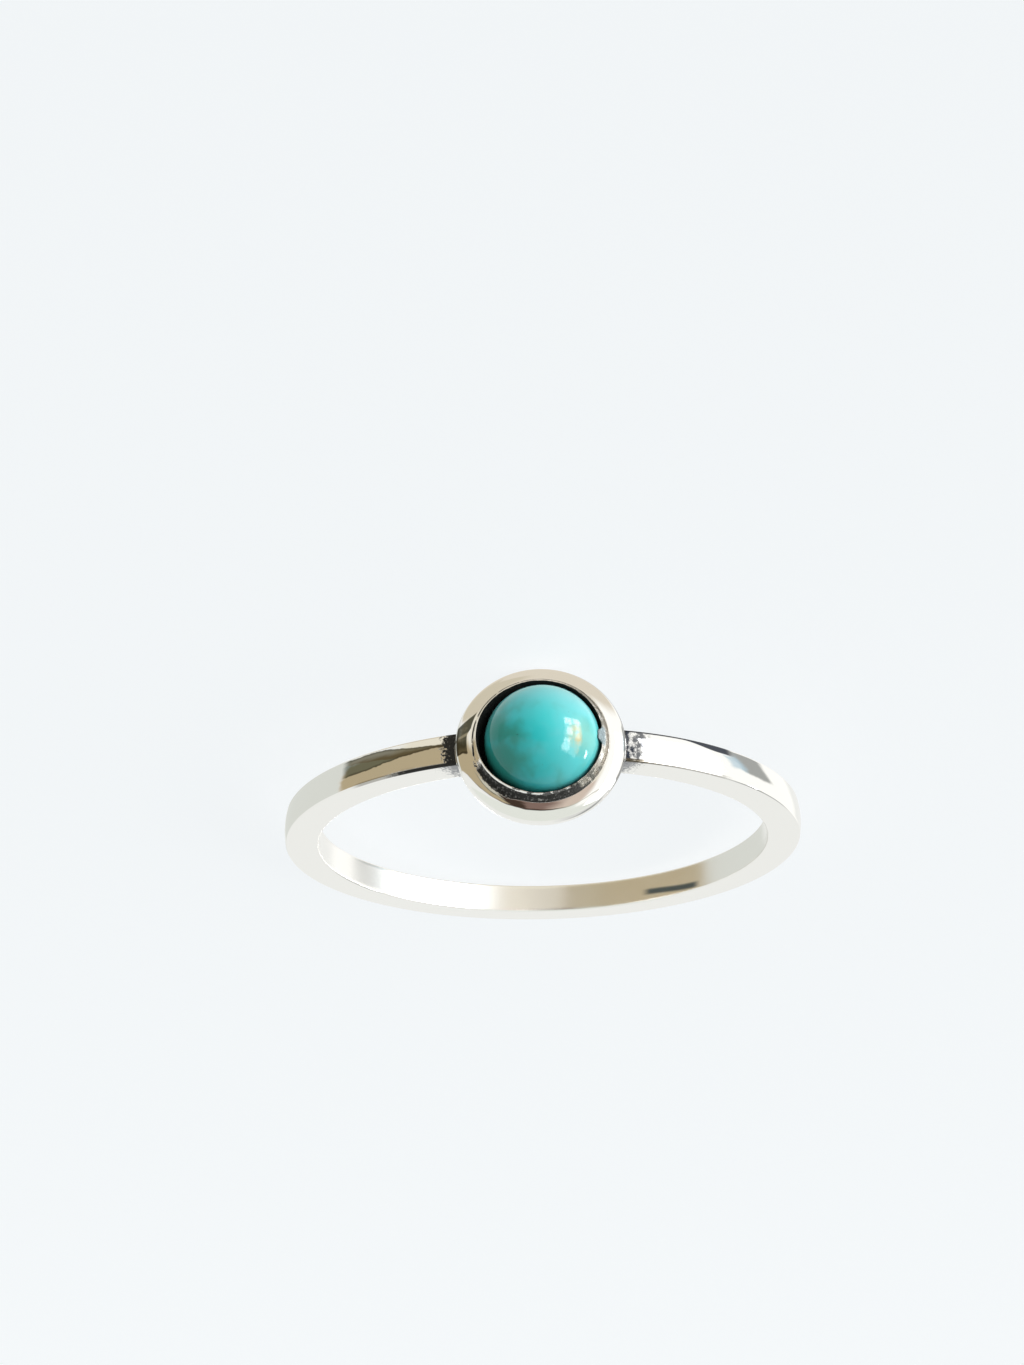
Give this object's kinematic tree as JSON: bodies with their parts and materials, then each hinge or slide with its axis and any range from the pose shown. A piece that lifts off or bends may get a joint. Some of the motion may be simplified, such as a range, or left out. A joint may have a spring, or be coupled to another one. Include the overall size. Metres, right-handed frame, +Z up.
{
  "type": "finger ring with a round turquoise",
  "caption": "Slim silver finger ring with one round domed turquoise held by a raised lip inside a rounded collar, lying on its side.",
  "frame": {"origin": "centre of the finger hole", "axes": "+Z up from the surface that the ring lies on, -Y towards the stone, X across the band. The hole's axis leans 7.1 degrees from +Z towards +Y, because the ring rests on the edge of its collar and the far edge of its band"},
  "size_m": [0.0198, 0.0216, 0.0059],
  "materials": {
    "silver": "polished silver, darkened in the joints and round the stone",
    "turquoise": "polished turquoise"
  },
  "bodies": {
    "root": {"silver_ring": "silver", "turquoise_stone": "turquoise"}
  },
  "joints": []
}
